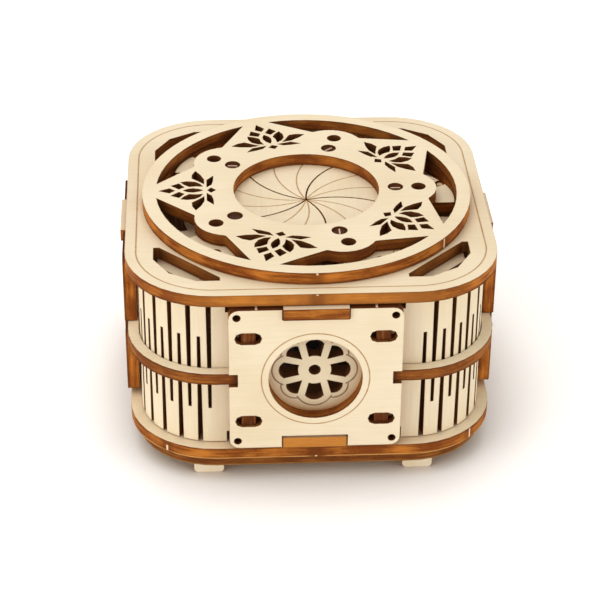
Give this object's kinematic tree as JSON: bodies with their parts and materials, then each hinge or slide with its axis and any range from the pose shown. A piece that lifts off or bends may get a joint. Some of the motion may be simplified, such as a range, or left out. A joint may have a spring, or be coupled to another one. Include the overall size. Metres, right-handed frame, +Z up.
{
  "type": "wooden puzzle music box",
  "caption": "Plywood puzzle music box with slotted sides, bent slit corners, a hand-cranked drum movement and a turning star plate that opens an iris over a small well.",
  "frame": {"origin": "on the surface that the feet stand on, under the middle of the whole depth with the crank", "axes": "+Z up, the front panel faces -Y and the crank comes out of the rear panel towards +Y"},
  "size_m": [0.1136, 0.1282, 0.0695],
  "materials": {
    "plywood": "bare birch plywood with laser-browned edges",
    "dowel": "bare turned wood",
    "steel": "satin",
    "brass": "satin"
  },
  "bodies": {
    "case": {"foot_front_left": "plywood", "foot_front_right": "plywood", "foot_rear_left": "plywood", "foot_rear_right": "plywood", "base_lower": "plywood", "base_upper": "plywood", "inner_floor": "plywood", "lower_shelf": "plywood", "upper_shelf": "plywood", "well_ring": "plywood", "top_frame": "plywood", "lid": "plywood", "panel_front": "plywood", "panel_right": "plywood", "panel_rear": "plywood", "panel_left": "plywood", "rosette_front": "plywood", "rosette_right": "plywood", "rosette_rear": "plywood", "rosette_left": "plywood", "corner_wall_front_left": "plywood", "corner_wall_front_right": "plywood", "corner_wall_rear_right": "plywood", "corner_wall_rear_left": "plywood", "corner_band_front_left": "plywood", "corner_band_front_right": "plywood", "corner_band_rear_right": "plywood", "corner_band_rear_left": "plywood", "drive_pin_1": "dowel", "drive_pin_2": "dowel", "drive_pin_3": "dowel", "drive_pin_4": "dowel", "drive_pin_5": "dowel", "movement_frame": "steel", "comb": "steel", "comb_screw_1": "steel", "comb_screw_2": "steel"},
    "star": {"star_plate": "plywood", "centring_ring": "plywood", "pivot_pin_1": "dowel", "pivot_pin_2": "dowel", "pivot_pin_3": "dowel", "pivot_pin_4": "dowel", "pivot_pin_5": "dowel"},
    "blade_1": {"iris_blade_1": "plywood"},
    "blade_2": {"iris_blade_2": "plywood"},
    "blade_3": {"iris_blade_3": "plywood"},
    "blade_4": {"iris_blade_4": "plywood"},
    "blade_5": {"iris_blade_5": "plywood"},
    "crank": {"worm_shaft": "steel", "crank_arm": "plywood", "knob_pin": "dowel"},
    "drum": {"music_drum": "brass", "drum_wheel": "brass"},
    "knob": {"crank_knob": "dowel"}
  },
  "joints": [
    {"name": "star_turn", "type": "hinge", "parent": "case", "child": "star", "pos_m": [0, -0.00735, 0.0658], "axis": [0, 0, 1], "range_deg": [0, 18]},
    {"name": "blade_1_swing", "type": "hinge", "parent": "star", "child": "blade_1", "pos_m": [0.0274, -0.00735, 0.0618], "axis": [0, 0, -1], "range_deg": [0, 50]},
    {"name": "blade_2_swing", "type": "hinge", "parent": "star", "child": "blade_2", "pos_m": [0.00847, 0.01871, 0.0618], "axis": [0, 0, -1], "range_deg": [0, 50]},
    {"name": "blade_3_swing", "type": "hinge", "parent": "star", "child": "blade_3", "pos_m": [-0.02217, 0.00876, 0.0618], "axis": [0, 0, -1], "range_deg": [0, 50]},
    {"name": "blade_4_swing", "type": "hinge", "parent": "star", "child": "blade_4", "pos_m": [-0.02217, -0.02346, 0.0618], "axis": [0, 0, -1], "range_deg": [0, 50]},
    {"name": "blade_5_swing", "type": "hinge", "parent": "star", "child": "blade_5", "pos_m": [0.00847, -0.03341, 0.0618], "axis": [0, 0, -1], "range_deg": [0, 50]},
    {"name": "crank_turn", "type": "hinge", "parent": "case", "child": "crank", "pos_m": [0, -0.00735, 0.0369], "axis": [0, 1, 0], "continuous": true},
    {"name": "drum_turn", "type": "hinge", "parent": "case", "child": "drum", "pos_m": [0, -0.00735, 0.0292], "axis": [1, 0, 0], "continuous": true},
    {"name": "knob_spin", "type": "hinge", "parent": "crank", "child": "knob", "pos_m": [0, 0.05415, 0.0229], "axis": [0, 1, 0], "continuous": true}
  ],
  "couplings": [
    {"joint": "blade_1_swing", "follows": "star_turn", "ratio": 2.7777},
    {"joint": "blade_2_swing", "follows": "star_turn", "ratio": 2.7777},
    {"joint": "blade_3_swing", "follows": "star_turn", "ratio": 2.7777},
    {"joint": "blade_4_swing", "follows": "star_turn", "ratio": 2.7777},
    {"joint": "blade_5_swing", "follows": "star_turn", "ratio": 2.7777},
    {"joint": "drum_turn", "follows": "crank_turn", "ratio": 0.05}
  ]
}
